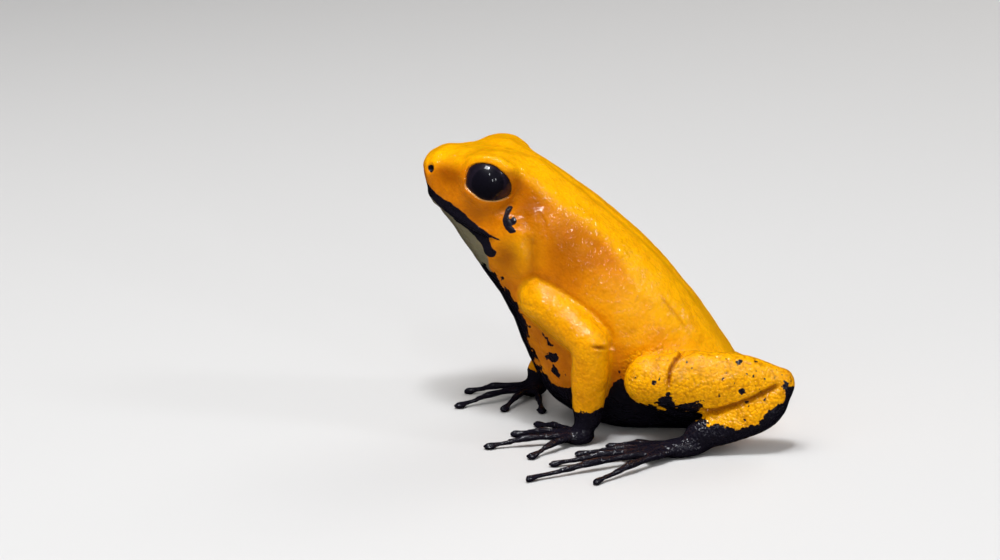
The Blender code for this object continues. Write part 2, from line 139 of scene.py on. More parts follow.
def make_sweep():
    bm = bmesh.new()
    profile = [Vector((0.0, 0.0, 0.0)), Vector((FLOOR_RADIUS, 0.0, 0.0))]
    for step in range(1, 10):
        angle = math.radians(10 * step)
        across = FLOOR_RADIUS + SWEEP_RADIUS * math.sin(angle)
        profile.append(Vector((across, 0.0, SWEEP_RADIUS * (1 - math.cos(angle)))))
    profile.append(profile[-1] + Vector((0.0, 0.0, 0.5)))
    verts = [bm.verts.new(point) for point in profile]
    edges = [bm.edges.new(pair) for pair in zip(verts, verts[1:])]
    turn = {"axis": (0, 0, 1), "angle": math.tau, "steps": 72, "use_merge": True}
    bmesh.ops.spin(bm, geom=verts + edges, cent=(0, 0, 0), **turn)
    bmesh.ops.remove_doubles(bm, verts=bm.verts, dist=1e-5)
    bmesh.ops.recalc_face_normals(bm, faces=bm.faces)
    mesh = into_mesh(bm, "floor")
    mesh.shade_smooth()
    paper, shader = new_material("pale paper")
    feed(paper.node_tree, shader, (("Base Color", FLOOR_GREY), ("Roughness", 0.9)))
    mesh.materials.append(paper)
    floor = shown("floor", mesh)
    floor.visible_glossy = False
    return floor


floor = make_sweep()
print("sweep faces:", len(floor.data.polygons))

# %% The lights
MIDDLE = Vector((-0.008, 0.0, 0.016))


def soft_box(name, direction, distance, size, power, colour, mirrored=True):
    """An area light that looks at the frog; the wet skin mirrors it or not."""
    data = bpy.data.lights.new(name, "AREA")
    data.shape = "RECTANGLE"
    data.size, data.size_y = size
    data.energy = power
    data.color = colour
    light = shown(name, data)
    away = Vector(direction).normalized()
    light.location = MIDDLE + away * distance
    light.rotation_euler = away.to_track_quat("Z", "Y").to_euler()
    light.visible_glossy = mirrored


WHITE, COOL = (1.0, 0.98, 0.95), (0.93, 0.96, 1.0)
soft_box("key", (-0.25, -0.30, 0.92), 0.55, (0.35, 0.35), 1.35, WHITE, False)
soft_box("back", (0.35, 0.75, 0.60), 0.60, (0.30, 0.30), 0.9, WHITE, False)
soft_box("front", (-0.50, -0.80, 0.35), 0.70, (0.45, 0.45), 0.75, WHITE, False)
soft_box("window", (-0.09, -0.27, 0.96), 0.55, (0.17, 0.13), 1.5, COOL)
soft_box("bright pane", (0.02, -0.30, 0.95), 0.52, (0.05, 0.07), 0.6, COOL)
soft_box("side window", (0.80, -0.05, 0.60), 0.60, (0.07, 0.12), 0.45, COOL)
PANES = ((0.43, -0.86, 0.27), (0.64, -0.70, 0.31), (0.14, -0.69, 0.71))
for number, direction in enumerate(PANES):
    soft_box(f"pane {number}", direction, 0.60, (0.03, 0.10), 0.2, COOL)
world = bpy.data.worlds.new("studio")
world.use_nodes = True
sky = world.node_tree.nodes["Background"]
feed(world.node_tree, sky, (("Color", (0.9, 0.93, 1.0, 1.0)), ("Strength", 0.14)))
world.cycles_visibility.glossy = False
bpy.context.scene.world = world
bpy.context.scene.view_settings.view_transform = "Standard"

# %% [markdown]
# ## The trunk's shape
# Head and body of a frog are one soft trunk. Here it is a row of cross sections along the
# animal, from the rump to the snout. Each one has a back point and a belly point in the
# plane of symmetry, a half width, and the height of its widest line. A smooth curve
# through the rows gives every section between them.
# The rows are those of the solid model, so the skin lies where the solids are.

# %% Sections of the trunk
TRUNK_STATIONS = np.array(
    (
        # back x, z, belly x, z, half width, widest (0 at the back, 1 at the belly)
        (9.6, 1.9, 8.4, 0.9, 2.6, 0.50),  # behind the vent
        (9.9, 3.4, 5.4, -0.3, 4.0, 0.50),  # vent
        (8.7, 6.2, -0.4, -0.5, 5.9, 0.52),  # hips
        (6.1, 10.0, -7.4, -0.3, 7.9, 0.52),  # loin
        (2.4, 15.1, -13.4, 2.6, 9.2, 0.52),  # belly
        (-2.6, 20.7, -16.3, 7.4, 9.3, 0.50),  # ribs
        (-8.0, 25.3, -18.2, 12.0, 8.6, 0.48),  # shoulders
        (-12.6, 28.8, -19.8, 15.0, 7.8, 0.50),  # neck
        (-16.4, 31.4, -21.4, 17.4, 7.3, 0.64),  # corners of the mouth
        (-20.4, 32.2, -23.4, 20.4, 6.5, 0.68),  # eyes
        (-23.6, 32.2, -25.2, 22.7, 5.7, 0.66),  # front of the eyes
        (-26.4, 31.9, -26.9, 24.5, 4.6, 0.60),  # nostrils
        (-28.1, 31.1, -28.0, 26.5, 3.2, 0.52),  # snout
        (-28.9, 30.5, -28.6, 28.3, 2.2, 0.45),  # foremost point
    )
)
# Exponent of the section above the widest line, by station. 2 is an ellipse.
SQUARE_ABOVE = ((6.5, 2.5), (8.0, 2.1), (9.5, 2.1), (11.0, 2.6))
SQUARE_BELOW = 2.2


def lengths(vectors):
    return np.linalg.norm(vectors, axis=-1)


def spline(values, position):
    """The smooth curve through the rows of values, at a row number."""
    last = len(values) - 1
    start = min(int(position), last - 1)
    f = position - start
    before, first = values[max(start - 1, 0)], values[start]
    second, after = values[start + 1], values[min(start + 2, last)]
    straight = first + 0.5 * f * (second - before)
    square = before - 2.5 * first + 2 * second - 0.5 * after
    cube = 1.5 * first - 0.5 * before - 1.5 * second + 0.5 * after
    return straight + square * f**2 + cube * f**3


def add_ball(bm, around, along, place):
    """Adds a ball whose points are moved by place(along 0..1, across, up), in mm."""
    ball = bmesh.new()
    bmesh.ops.create_uvsphere(ball, u_segments=around, v_segments=along, radius=1.0)
    for vert in ball.verts:
        across, up, length = vert.co
        reach = math.hypot(across, up)
        if reach > 1e-6:
            across, up = across / reach, up / reach
        vert.co = Vector(place((1 + length) / 2, across, up)) * MM
    bmesh.ops.recalc_face_normals(ball, faces=ball.faces)
    mesh = into_mesh(ball, "ball")
    bm.from_mesh(mesh)
    bpy.data.meshes.remove(mesh)


def trunk_point(along, across, up):
    """A point of the trunk, with domes over the first and the last section."""
    last = len(TRUNK_STATIONS) - 1
    position = along * last
    back_x, back_z, belly_x, belly_z, half_width, widest = spline(TRUNK_STATIONS, position)
    into_dome = max(1 - position, position - (last - 1), 0.0)
    dome = math.sqrt(max(1 - into_dome**2, 0.0))
    back, belly = Vector((back_x, 0, back_z)), Vector((belly_x, 0, belly_z))
    middle = back.lerp(belly, widest)
    reach = (back - middle) if up > 0 else (middle - belly)
    square = np.interp(position, *zip(*SQUARE_ABOVE)) if up > 0 else SQUARE_BELOW
    power = 2 / square
    lift = math.copysign(abs(up) ** power, up)
    side = math.copysign(abs(across) ** power, across)
    return middle + (reach * lift + Vector((0, half_width * side, 0))) * dome


flesh = bmesh.new()
add_ball(flesh, 80, 150, trunk_point)
print("trunk points:", len(flesh.verts))

# %% [markdown]
# ## Limbs
# A limb is a rounded tube along a smooth path through its joints, with two half
# thicknesses at each joint. A Skin modifier would be quicker to write, but its sections
# are square and its joints pinch, so the tube is placed point by point instead.
# The arms stand on the floor like posts. Each hind leg is folded flat: the thigh runs
# forward beside the body, the shank lies back along it, and the long ankle, the tarsus,
# comes forward again underneath.


# %% A tube through joints
def add_limb(bm, joints, thickness, guide, around=28, along=44):
    """Adds a tube; each joint has half thicknesses across and along the guide."""
    rows = np.array([(*joint, *sizes) for joint, sizes in zip(joints, thickness)])
    fine = np.array([spline(rows, q) for q in np.linspace(0, len(rows) - 1, 81)])
    steps = lengths(np.diff(fine[:, :3], axis=0))
    distance = np.concatenate([[0.0], np.cumsum(steps)])
    length = distance[-1]
    first_dome, last_dome = rows[0, 3:].mean(), rows[-1, 3:].mean()

    def at(d):
        return np.array([np.interp(d, distance, fine[:, i]) for i in range(5)])

    def place(where, across, up):
        d = -first_dome + where * (length + first_dome + last_dome)
        inside = min(max(d, 0.0), length)
        row = at(inside)
        heading = Vector(at(inside + 0.2)[:3] - at(inside - 0.2)[:3]).normalized()
        centre = Vector(row[:3]) + heading * (d - inside)
        beyond = abs(d - inside) / (first_dome if d < 0 else last_dome)
        dome = math.sqrt(max(1 - beyond**2, 0.0))
        side = heading.cross(Vector(guide)).normalized()
        top = side.cross(heading)
        return centre + (side * across * row[3] + top * up * row[4]) * dome

    add_ball(bm, around, along, place)


def add_ellipsoid(bm, centre, sizes, turn=0.0, around=24, along=14):
    """Adds an ellipsoid with these half axes, turned about the vertical."""
    rotation = Matrix.Rotation(math.radians(turn), 3, "Z")

    def place(where, across, up):
        height = 2 * where - 1
        round_off = math.sqrt(max(1 - height**2, 0.0))
        offset = Vector((across * round_off, up * round_off, height))
        return Vector(centre) + rotation @ Vector(a * b for a, b in zip(offset, sizes))

    add_ball(bm, around, along, place)


def on_side(point, side):
    return Vector((point[0], point[1] * SIDES[side], point[2]))


# %% Arms and legs
SHOULDER = (-14.4, 7.0, 16.0)
HIP = (7.6, 3.2, 4.0)
JOINTS = {
    # elbow, wrist, knee, heel, ankle
    "left": ((-8.1, 10.9, 11.7), (-8.5, 10.4, 2.9), (-1.6, 12, 8.3), (13, 10, 7.8), (4.2, 12.6, 2.2)),
    "right": ((-9.8, 11.2, 10.8), (-16.3, 7.9, 2.8), (-1.6, 12.4, 5), (11, 8.2, 2.2), (4.4, 14.4, 1.9)),
}
ARM_THICKNESS = ((2.5, 2.6), (2.3, 2.4), (2.0, 2.1), (1.95, 2.15), (1.45, 1.6))
THIGH_THICKNESS = {
    "left": ((2.9, 3.0), (3.5, 3.9), (2.6, 2.9)),
    "right": ((2.9, 2.6), (3.3, 3.2), (2.5, 2.5)),
}
SHANK_THICKNESS = {
    "left": ((2.6, 2.8), (2.7, 3.5), (2.4, 3.3), (1.7, 2.0)),
    "right": ((2.5, 2.5), (2.6, 2.6), (2.3, 2.3), (1.6, 1.7)),
}
TARSUS_THICKNESS = ((1.7, 1.8), (1.9, 2.2), (1.7, 2.1), (1.5, 1.7))
limb_paths = {}

for side in SIDES:
    joints = [on_side(point, side) for point in (SHOULDER, HIP, *JOINTS[side])]
    shoulder, hip, elbow, wrist, knee, heel, ankle = joints
    upper = (shoulder, elbow.lerp(shoulder, 0.5), elbow)
    fore = (elbow, elbow.lerp(wrist, 0.45), wrist)
    thigh = (hip, hip.lerp(knee, 0.5), knee)
    shank = (knee, knee.lerp(heel, 0.35), knee.lerp(heel, 0.72), heel)
    bend = heel.lerp(ankle, 0.3) + Vector((1.2, 0, -1.0))
    tarsus = (heel, bend, heel.lerp(ankle, 0.65) + Vector((0, 0, -1.0)), ankle)
    for path, thickness, guide in (
        (upper, ARM_THICKNESS[:3], (0, 0, 1)),
        (fore, ARM_THICKNESS[2:], (-1, 0, 0)),
        (thigh, THIGH_THICKNESS[side], (0, 0, 1)),
        (shank, SHANK_THICKNESS[side], (0, 0, 1)),
        (tarsus, TARSUS_THICKNESS, (0.4, 0, 1)),
    ):
        add_limb(flesh, path, thickness, guide)
    paths = {"arm": upper + fore[1:], "thigh": thigh, "shank": shank, "tarsus": tarsus}
    limb_paths.update({(name, side): path for name, path in paths.items()})
print("limb paths:", len(limb_paths), "points so far:", len(flesh.verts))

# %% [markdown]
# ## Hands and feet
# A poison frog has four fingers and five toes, without webs, and each ends in a small
# flat disc. The palm is a flattened pad, and every digit is a thin tube with two knuckles
# that arches a little between the pad and its disc. All of them press flat on the floor.

# %% Digits
BELOW_FLOOR = 0.12  # how far soft undersides are pressed flat
FINGERS = ((-52.0, 7.4), (-18.0, 7.6), (12.0, 10.4), (46.0, 7.8))  # angle, length
TOES = ((-34.0, 8.6), (-16.0, 11.8), (-3.0, 15.2), (9.0, 19.6), (26.0, 14.2))
HAND = {"thickness": 0.5, "disc": (0.95, 0.72), "pad": (2.0, 1.7, 1.0)}
FOOT = {"thickness": 0.52, "disc": (0.85, 0.66), "pad": (3.4, 1.7, 1.1)}
HAND_TURN = {"left": 8.0, "right": -52.0}  # outward, in degrees
FOOT_TURN = {"left": 26.0, "right": 30.0}
DISC_HEIGHT = 0.45
DIGIT_ROWS = (
    # how far along, height of the axis and thickness; the knuckles are the thick ones
    (0.0, 0.95, 1.3), (0.17, 1.0, 1.0), (0.31, 1.06, 1.14), (0.45, 1.06, 0.9),
    (0.62, 0.98, 1.08), (0.8, 0.68, 0.8), (1.0, 0.42, 0.82),
)  # fmt: skip


def add_digit(bm, start, bearing, length, sizes):
    ahead = Vector((-math.cos(bearing), math.sin(bearing), 0))
    tip = start + ahead * length
    joints, thickness = [], []
    for share, height, swelling in DIGIT_ROWS:
        spot = start.lerp(tip, share)
        joints.append((spot.x, spot.y, height))
        thickness.append((sizes["thickness"] * swelling,) * 2)
    add_limb(bm, joints, thickness, (0, 0, 1), 14, 44)
    disc = (*sizes["disc"], DISC_HEIGHT)
    turn = math.degrees(math.atan2(ahead.y, ahead.x))
    centre = (tip.x, tip.y, DISC_HEIGHT - BELOW_FLOOR)
    add_ellipsoid(bm, centre, disc, turn, 18, 10)


def add_extremity(bm, root, turn, digits, sizes, side, guide):
    """Adds the pad and the digits of a hand or a foot, below the joint at root."""
    sign = SIDES[side]
    turned = Matrix.Rotation(-sign * math.radians(turn), 3, "Z") @ Vector((-1, 0, 0))
    pad_length, pad_width, pad_height = sizes["pad"]
    ground = Vector((root.x, root.y, 0))
    centre = ground + turned * (0.55 * pad_length)
    centre.z = pad_height - BELOW_FLOOR
    add_ellipsoid(bm, centre, sizes["pad"], -sign * turn)
    neck = ((1.35, 1.35), (pad_width * 0.8, 0.85))
    add_limb(bm, (root, centre), neck, guide, 24, 20)
    for angle, length in digits:
        bearing = sign * math.radians(turn + angle)
        add_digit(bm, ground + turned * (0.45 * pad_length), bearing, length, sizes)


for side in SIDES:
    wrist, ankle = limb_paths["arm", side][-1], limb_paths["tarsus", side][-1]
    add_extremity(flesh, wrist, HAND_TURN[side], FINGERS, HAND, side, (-1, 0, 0))
    add_extremity(flesh, ankle, FOOT_TURN[side], TOES, FOOT, side, (0.3, 0, 1))
print("points with hands and feet:", len(flesh.verts))

# %% [markdown]
# ## The brow over each eye
# A frog's eyes stand out of the head as domes of lid and brow. The dome is an ellipsoid a
# little longer than the eyeball, because the brow runs on behind the eye. A flatter one
# below it is the cheek, which carries the lower lid. A bridge across the head joins both
# brows, and a short ridge on each side, the temple, runs back from the brow to the neck.

# %% Brow domes
EYE_CENTRE = (-20.6, 4.7, 28.95)
EYE_RADIUS = 3.0
BROW_CENTRE = (-20.8, 4.5, 28.85)
BROW_SIZES = (3.7, 3.1, 3.5)
CHEEK_CENTRE = (-20.9, 3.9, 27.3)
CHEEK_SIZES = (5.6, 3.0, 3.9)
BRIDGE_THICKNESS = (4.4, 3.45)  # half thickness lengthwise and upward
TEMPLE = ((-19.4, 3.4, 29.5), (-16.4, 3.4, 27.8), (-13.0, 4.2, 24.8))
TEMPLE_THICKNESS = ((2.7, 2.7), (2.6, 2.6), (2.2, 2.2))
for side in SIDES:
    add_ellipsoid(flesh, on_side(BROW_CENTRE, side), BROW_SIZES, 0.0, 40, 30)
    add_ellipsoid(flesh, on_side(CHEEK_CENTRE, side), CHEEK_SIZES, 0.0, 40, 30)
ends = [on_side(BROW_CENTRE, side) for side in SIDES]
bridge = (ends[0], ends[0].lerp(ends[1], 0.5), ends[1])
add_limb(flesh, bridge, (BRIDGE_THICKNESS,) * 3, (0, 0, 1), 48, 30)
for side in SIDES:
    temple = [on_side(point, side) for point in TEMPLE]
    add_limb(flesh, temple, TEMPLE_THICKNESS, (0, 0, 1), 32, 30)
print("points in all forms:", len(flesh.verts))

# %% [markdown]
# ## One skin over everything
# Real skin runs without a seam from the trunk over the limbs. The overlapping forms are
# turned into one closed surface by a voxel Remesh, which works like shrink wrap filled
# with small cubes. It needs no clean meshes below and leaves even four-sided faces that
# can be sculpted. A few rounds of smoothing then soften the valleys between the forms, and
# many more melt the brows into the head.

# %% Remesh
VOXEL = 0.35
BROW_REACH = 6.5  # how far round each eye the brow melts in


def remeshed(bm, voxel):
    """The mesh of one closed surface round all that the bmesh holds."""
    source = into_mesh(bm, "forms")
    carrier = shown("forms", source)
    modifier = carrier.modifiers.new("one skin", "REMESH")
    modifier.mode = "VOXEL"
    modifier.voxel_size = voxel * MM
    graph = bpy.context.evaluated_depsgraph_get()
    made = bpy.data.meshes.new_from_object(carrier.evaluated_get(graph))
    bpy.data.objects.remove(carrier, do_unlink=True)
    bpy.data.meshes.remove(source)
    return made


def soften(verts, rounds):
    """Draws points of the skin toward the middle of their neighbours."""
    for _ in range(rounds):
        bmesh.ops.smooth_vert(
            skin, verts=verts, factor=0.5, use_axis_x=True, use_axis_y=True, use_axis_z=True
        )


skin_mesh = remeshed(flesh, VOXEL)
skin = bmesh.new()
skin.from_mesh(skin_mesh)
soften(skin.verts, 4)
brow_verts = [
    vert
    for vert in skin.verts
    if min((vert.co / MM - on_side(EYE_CENTRE, side)).length for side in SIDES) < BROW_REACH
]
soften(brow_verts, 24)
print("skin faces:", len(skin.faces), "smoothed round the brows:", len(brow_verts))

# %% [markdown]
# ## The eye opening
# The lids leave an almond of the eyeball free, 5.2 by 4.3 mm. Its outline is drawn once,
# in the picture's plane, and laid on the ball. Seen the way the eye looks, skin inside the
# outline goes behind the ball. Skin outside it rises from the ball in a rounded margin, so
# that the ball itself cuts a clean, smooth edge.

# %% Lay the outline on the ball
EYE_OUTLINE = np.array(
    # ahead of the ball's middle and above it, in mm
    (
        (2.61, -0.71), (2.63, -0.05), (2.51, 0.82), (2.18, 1.49), (1.52, 1.83),
        (0.64, 1.92), (-0.24, 1.75), (-1.01, 1.37), (-1.77, 0.72), (-2.31, -0.05),
        (-2.59, -0.71), (-2.54, -1.36), (-2.27, -1.81), (-1.55, -2.19), (-0.78, -2.35),
        (0.0, -2.37), (0.86, -2.19), (1.63, -1.69), (2.18, -1.26),
    )
)  # fmt: skip
picture_out = np.array(toward_camera) * (1, -1, 1)
picture_right = np.array((math.cos(CAMERA_AZIMUTH), -math.sin(CAMERA_AZIMUTH), 0))
picture_up = np.cross(picture_right, picture_out)
picture_up *= np.sign(picture_up[2])


def folded(points):
    """The points, with the left side laid over the right one."""
    out = points.copy()
    out[:, 1] = np.abs(out[:, 1])
    return out


def along_path(points, path):
    """Distance from a path, last coordinate of the gap, and the place along it, 0 to 1."""
    path = np.asarray(path, float)
    best = np.full(len(points), 1e9)
    height, place = np.zeros(len(points)), np.zeros(len(points))
    for number, (start, end) in enumerate(zip(path[:-1], path[1:])):
        along = end - start
        t = np.clip((points - start) @ along / (along @ along), 0, 1)
        gap = points - start - t[:, None] * along
        distance = lengths(gap)
        nearer = distance < best
        best = np.where(nearer, distance, best)
        height = np.where(nearer, gap[:, -1], height)
        place = np.where(nearer, (number + t) / (len(path) - 1), place)
    return best, height, place


def from_path(points, path):
    """Each point's distance from a path of straight pieces."""
    return along_path(points, path)[0]


def unit(vectors):
    return vectors / lengths(vectors)[..., None]


depth = np.sqrt(EYE_RADIUS**2 - (EYE_OUTLINE**2).sum(axis=1))
outline_on_ball = unit(
    -EYE_OUTLINE[:, :1] * picture_right
    + EYE_OUTLINE[:, 1:] * picture_up
    + depth[:, None] * picture_out
)
EYE_LOOKS = unit(outline_on_ball.mean(axis=0))
eye_up = unit(picture_up - EYE_LOOKS * (picture_up @ EYE_LOOKS))
eye_ahead = np.cross(eye_up, EYE_LOOKS)
eye_ahead *= -np.sign(eye_ahead[0])


def inside(spots, outline):
    """How far 2-D spots are inside a closed outline, in mm; negative outside."""
    outline = np.asarray(outline, float)
    best = from_path(spots, np.vstack([outline, outline[:1]]))
    within = np.zeros(len(spots), bool)
    for (x0, y0), (x1, y1) in zip(outline, np.roll(outline, -1, axis=0)):
        crosses = (y0 > spots[:, 1]) != (y1 > spots[:, 1])
        rise = (spots[:, 1] - y0) / (y1 - y0 if y1 != y0 else 1e-9)
        within ^= crosses & (spots[:, 0] < x0 + rise * (x1 - x0))
    return np.where(within, best, -best)


def smooth_loop(outline, steps=4):
    """The closed smooth curve through an outline's points."""
    rows = np.vstack([outline, outline[:3]])
    places = np.linspace(0, len(outline), steps * len(outline), endpoint=False)
    return np.array([spline(rows, 1 + place) for place in places])


lid_ring = smooth_loop(outline_on_ball) * EYE_RADIUS
lid_outline = np.column_stack([lid_ring @ eye_ahead, lid_ring @ eye_up])
print("the eye looks toward", EYE_LOOKS.round(3), "outline", np.ptp(lid_outline, axis=0))

# %% [markdown]
# ## Finer mesh where detail comes
# The lids, the lips, the nostrils, the eardrums and the folds have details of a fifth of a
# millimetre. Only the faces near them are subdivided, so the rest of the skin stays light.
# Their outlines and lines are given first, as points seen from the side.

# %% Outlines of the markings on the head, seen from the side
LIP_BAND = (
    (-30.0, 28.6), (-28.6, 28.4), (-27.5, 27.7), (-26.2, 26.9), (-25.1, 26.55), (-24.2, 26.1),
    (-23.3, 25.5), (-22.6, 24.9), (-21.8, 24.3), (-21.0, 23.8), (-20.1, 23.3), (-18.9, 22.7),
    (-19.3, 22.6), (-20.2, 22.75), (-20.15, 22.2), (-19.9, 21.7), (-19.35, 21.35),
    (-19.4, 20.85), (-20.0, 20.55), (-20.7, 20.75), (-21.05, 21.6), (-21.3, 22.0),
    (-21.9, 22.55), (-22.5, 23.1), (-23.0, 23.5), (-23.8, 23.85), (-24.5, 24.15),
    (-25.0, 24.95), (-25.8, 25.35), (-26.5, 25.75), (-27.1, 26.35), (-28.0, 26.6), (-30.0, 26.6),
)  # fmt: skip
THROAT = (
    (-30.0, 27.2), (-28.0, 27.2), (-27.1, 26.9), (-26.3, 26.3), (-25.5, 25.9), (-24.5, 25.2),
    (-23.0, 24.2), (-22.0, 23.3), (-21.3, 22.1), (-21.0, 21.6), (-20.6, 20.8), (-20.4, 20.1),
    (-20.3, 18.8), (-19.2, 17.2), (-20.5, 14.5), (-30.0, 14.5),
)  # fmt: skip
EARDRUM_MARK = (
    (-17.9, 26.25), (-18.3, 26.15), (-18.6, 25.7), (-18.7, 25.0), (-18.6, 24.3), (-18.2, 23.8),
    (-17.6, 23.6), (-17.1, 23.8), (-17.3, 24.1), (-17.6, 24.35), (-17.25, 24.5), (-17.1, 24.9),
    (-17.5, 25.2), (-17.9, 25.0), (-18.1, 25.4), (-17.9, 25.8), (-17.7, 26.1),
)  # fmt: skip

# %% Fold lines of the skin
FOLDS = {
    # side, path seen from the side (x, height), nearest the middle, width, depth, swelling
    "shank on tarsus": (
        "left",
        ((3.9, 5.3), (5.2, 5.1), (6.3, 5.2), (8.7, 6.1), (10.6, 6.95), (12.4, 7.9), (13.5, 8.4)),
        (10.0, 0.26, 0.5, 0.08),
    ),
    "left knee": (
        "left",
        ((4.4, 12.1), (2.3, 11.5), (1.5, 10.9), (1.05, 10.1), (0.95, 9.2), (1.0, 7.8)),
        (10.0, 0.17, 0.5, 0.2),
    ),
    "right knee": (
        "right",
        ((2.6, 7.3), (1.5, 7.2), (0.8, 6.8), (0.5, 6.2), (0.45, 5.3)),
        (10.0, 0.26, 0.35, 0.1),
    ),
    "left elbow": ("left", ((-8.3, 12.1), (-7.2, 12.0), (-5.9, 11.6)), (10.8, 0.16, 0.36, 0.08)),
    "right elbow": ("right", ((-9.8, 11.4), (-8.9, 11.2), (-8.1, 10.8)), (10.8, 0.16, 0.28, 0.05)),
}
for side in SIDES:
    FOLDS["breast " + side] = (
        side,
        ((-15.4, 23.6), (-15.0, 21.3), (-15.0, 19.4), (-15.5, 17.8)),
        (5.0, 0.6, 0.45, 0.0),
    )
    FOLDS["flank " + side] = (side, ((-1.0, 16.7), (0.9, 14.4), (2.6, 12.1)), (3.0, 0.12, 0.1, 0.0))
    neck_line = ((-14.9, 26.4), (-13.9, 25.0), (-13.5, 23.6))
    FOLDS["neck " + side] = (side, neck_line, (4.0, 0.15, 0.1, 0.05))
    FOLDS["snout " + side] = (side, ((-25.4, 31.3), (-23.7, 31.5)), (2.6, 0.14, 0.08, 0.03))
ARM_CREASE = (2.75, 0.32, 0.32)  # distance from the arm's axis, width, depth


def fold_distance(p, name):
    """How far points are from a fold line, seen from the side."""
    side, path, (nearest, *_) = FOLDS[name]
    gap = from_path(p[:, (0, 2)], path)
    return np.where(p[:, 1] * SIDES[side] > nearest, gap, 9.0)


def fold_strength(p, name):
    """1 along a fold, fading to 0 at its two ends."""
    ends = [lengths(p[:, (0, 2)] - FOLDS[name][1][end]) for end in (0, -1)]
    return ramp(np.minimum(*ends), 0.0, 1.3)


def arm_distance(p, side):
    """Distance from the upper arm's axis, for points above it."""
    shoulder, elbow = (np.array(tuple(joint)) for joint in limb_paths["arm", side][:3:2])
    gap = from_path(p, (shoulder, elbow))
    lie = np.interp(p[:, 0], (shoulder[0], elbow[0]), (shoulder[2], elbow[2]))
    return np.where((p[:, 2] > lie - 0.6) & (p[:, 0] < elbow[0] + 2.4), gap, 9.0)


# %% Refine the head
MOUTH_LINE = np.array(
    # x and height of the line between the lips, seen from the side
    ((-30.0, 26.3), (-27.9, 26.1), (-25.2, 24.8), (-22.6, 23.5), (-20.8, 22.9), (-19.1, 22.6))
)
MOUTH_SLANT = 0.9  # a distance across the line over the same distance upward
NOSTRIL = (-27.45, 3.25, 29.75)
EARDRUM = (-16.9, 7.7, 25.2)


def above_mouth(points):
    """How far skin is above the line of the mouth, seen from the side."""
    rows = np.searchsorted(MOUTH_LINE[:, 0], points[:, 0]).clip(1, len(MOUTH_LINE) - 1)
    low, high = MOUTH_LINE[rows - 1], MOUTH_LINE[rows]
    t = ((points[:, 0] - low[:, 0]) / (high[:, 0] - low[:, 0])).clip(0, 1)
    t = t + 0.35 * t * (1 - t) * (0.5 - t)
    return (points[:, 2] - low[:, 1] - t * (high[:, 1] - low[:, 1])) * MOUTH_SLANT


def detail_distance(points):
    """Distance to the nearest lid margin, lip, nostril, eardrum or fold."""
    real = np.asarray(points, float) / MM
    folds = [fold_distance(real, name) + 0.5 for name in FOLDS]
    folds += [np.abs(arm_distance(real, side) - ARM_CREASE[0]) + 0.5 for side in SIDES]
    p = folded(real)
    eye = from_path(p, np.vstack([lid_ring, lid_ring[:1]]) + EYE_CENTRE) - 0.3
    mouth = np.abs(above_mouth(p)) + np.maximum(p[:, 0] + 18.8, 0)
    band = np.abs(inside(p[:, (0, 2)], LIP_BAND)) + 0.3
    nostril = lengths(p - NOSTRIL) - 0.4
    drum = np.abs(inside(p[:, (0, 2)], EARDRUM_MARK)) + np.maximum(6 - p[:, 1], 0)
    return np.minimum.reduce([eye, mouth, band, nostril, drum, *folds])


for reach in (1.0, 0.45):
    centres = [face.calc_center_median() for face in skin.faces]
    near = detail_distance(centres) < reach
    edges = {e for face, wanted in zip(skin.faces, near) if wanted for e in face.edges}
    bmesh.ops.subdivide_edges(skin, edges=list(edges), cuts=1, use_grid_fill=True)
    skin.verts.ensure_lookup_table()
    spots = detail_distance([vert.co for vert in skin.verts]) < reach
    chosen = [vert for vert, wanted in zip(skin.verts, spots) if wanted]
    soften(chosen, 3)
skin.to_mesh(skin_mesh)
skin.free()
print("skin faces after refining:", len(skin_mesh.polygons))

# %% [markdown]
# ## Sculpting by fields
# From here the skin is shaped as a sculptor works: a place, a direction and a depth. All
# the points are held in one table, and each step moves them by a smooth function of where
# they are, which is far quicker than moving them one by one.


# %% The table of points
def read_table(rows, name):
    """One vector for each row, such as each point's place or normal."""
    table = np.zeros(len(rows) * 3, np.float32)
    rows.foreach_get(name, table)
    return table.reshape(-1, 3).astype(float)


def write_points(mesh, points):
    mesh.vertices.foreach_set("co", (points * MM).astype(np.float32).ravel())
    mesh.update()


def ramp(values, low, high):
    """0 below low, 1 above high and a smooth step between; high may be the smaller."""
    t = np.clip((values - low) / (high - low), 0, 1)
    return t * t * (3 - 2 * t)


def bell(distance, width):
    """1 at no distance, fading smoothly to nearly 0 at twice the width."""
    return np.exp(-((distance / width) ** 2))


points = read_table(skin_mesh.vertices, "co") / MM
print("points to sculpt:", len(points))

# %% Open the lids
MARGIN = 0.35  # width of the rounded lid margin
MARGIN_LIFT = 0.04  # how far the margin's edge stands off the ball
LID = 0.3  # how thick a lid is
from_eye = folded(points) - EYE_CENTRE
plan = np.column_stack([from_eye @ eye_ahead, from_eye @ eye_up])
height = from_eye @ EYE_LOOKS
near_eye = (lengths(from_eye) < EYE_RADIUS + 3) & (height > 0)
outside_lids = np.full(len(points), 9.0)
outside_lids[near_eye] = -inside(plan[near_eye], lid_outline)


def dome_height(radius):
    """Height of a ball of this radius over the lid plan."""
    return np.sqrt(np.maximum(radius**2 - (plan**2).sum(axis=1), 0))


